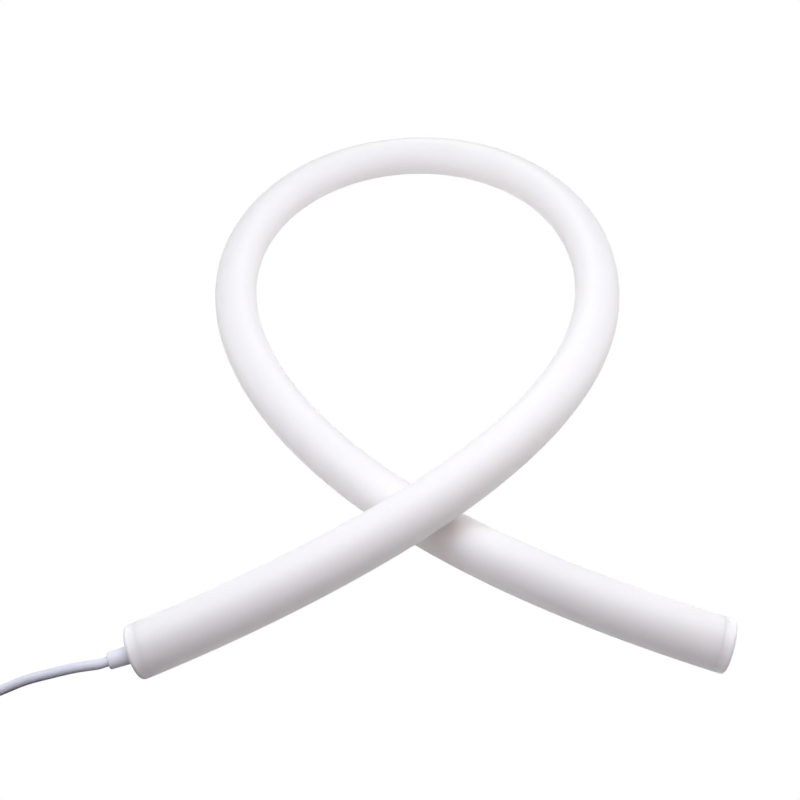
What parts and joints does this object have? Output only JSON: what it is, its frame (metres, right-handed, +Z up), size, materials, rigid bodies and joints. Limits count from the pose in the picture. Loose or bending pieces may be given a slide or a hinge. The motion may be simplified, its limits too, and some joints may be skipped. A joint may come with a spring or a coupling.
{
  "type": "led neon flex",
  "caption": "Round white silicone neon flex light bent into one loop with crossed ends, moulded end caps and a thin power lead coiled beside it.",
  "frame": {"origin": "on the floor that the tube lies on, under the middle of the box round the tube and its caps", "axes": "+Z up from the floor, +Y from the crossed ends towards the top of the loop, +X to the right, from the cable end to the plain end"},
  "size_m": [0.3858, 0.4699, 0.0542],
  "materials": {
    "silicone": "satin milky white silicone, diffusing",
    "cap_silicone": "satin white silicone",
    "boot": "satin cool white",
    "lead_jacket": "smooth cool white jacket",
    "red_core": "smooth",
    "black_core": "smooth",
    "tin": "tinned"
  },
  "bodies": {
    "root": {"flex_tube": "silicone", "plain_end_cap": "cap_silicone", "cable_end_cap": "cap_silicone", "cable_boot": "boot", "lead": "lead_jacket", "lead_coil": "lead_jacket", "core_red": "red_core", "core_black": "black_core", "tip_red": "tin", "tip_black": "tin"}
  },
  "joints": []
}
